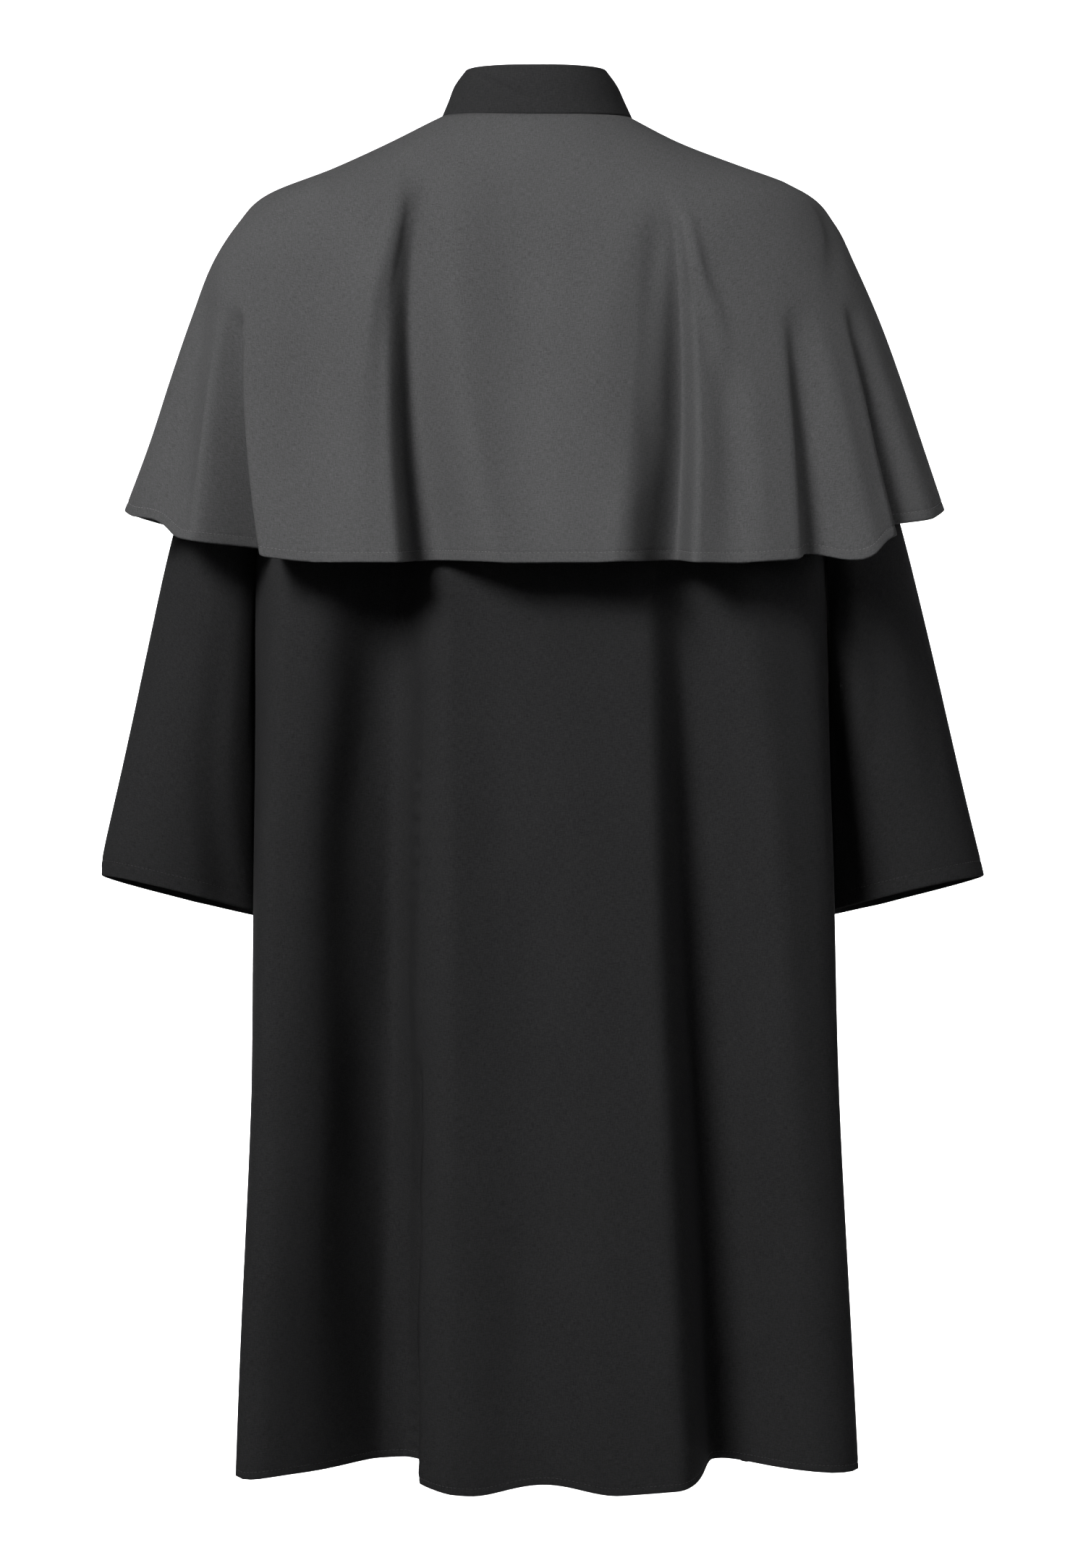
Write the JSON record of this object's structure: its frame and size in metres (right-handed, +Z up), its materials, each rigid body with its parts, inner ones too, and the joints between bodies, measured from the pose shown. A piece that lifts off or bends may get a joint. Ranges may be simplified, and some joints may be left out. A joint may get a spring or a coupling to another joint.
{
  "type": "stand-collar gown with shoulder cape",
  "caption": "Hollow worn gown with a stand collar, set-in sleeves, a flared skirt with soft folds and a shoulder cape open at the centre front",
  "frame": {"origin": "the centre of the neck opening, at the height of the collar seam at the centre back, where the wearer's neck and shoulders hold the garment", "axes": "+Z up, front of the garment towards -Y, the wearer's left towards +X"},
  "size_m": [0.7629, 0.3858, 1.1917],
  "materials": {
    "gown_cloth": "matt black woven cloth with a fine grain",
    "collar_cloth": "matt charcoal woven cloth, interlined",
    "cape_cloth": "mid-grey woven cloth with a fine grain and a soft sheen"
  },
  "bodies": {
    "root": {"back": "gown_cloth", "front_left": "gown_cloth", "front_right": "gown_cloth", "sleeve_left": "gown_cloth", "sleeve_right": "gown_cloth", "collar": "collar_cloth", "cape": "cape_cloth"}
  },
  "joints": []
}
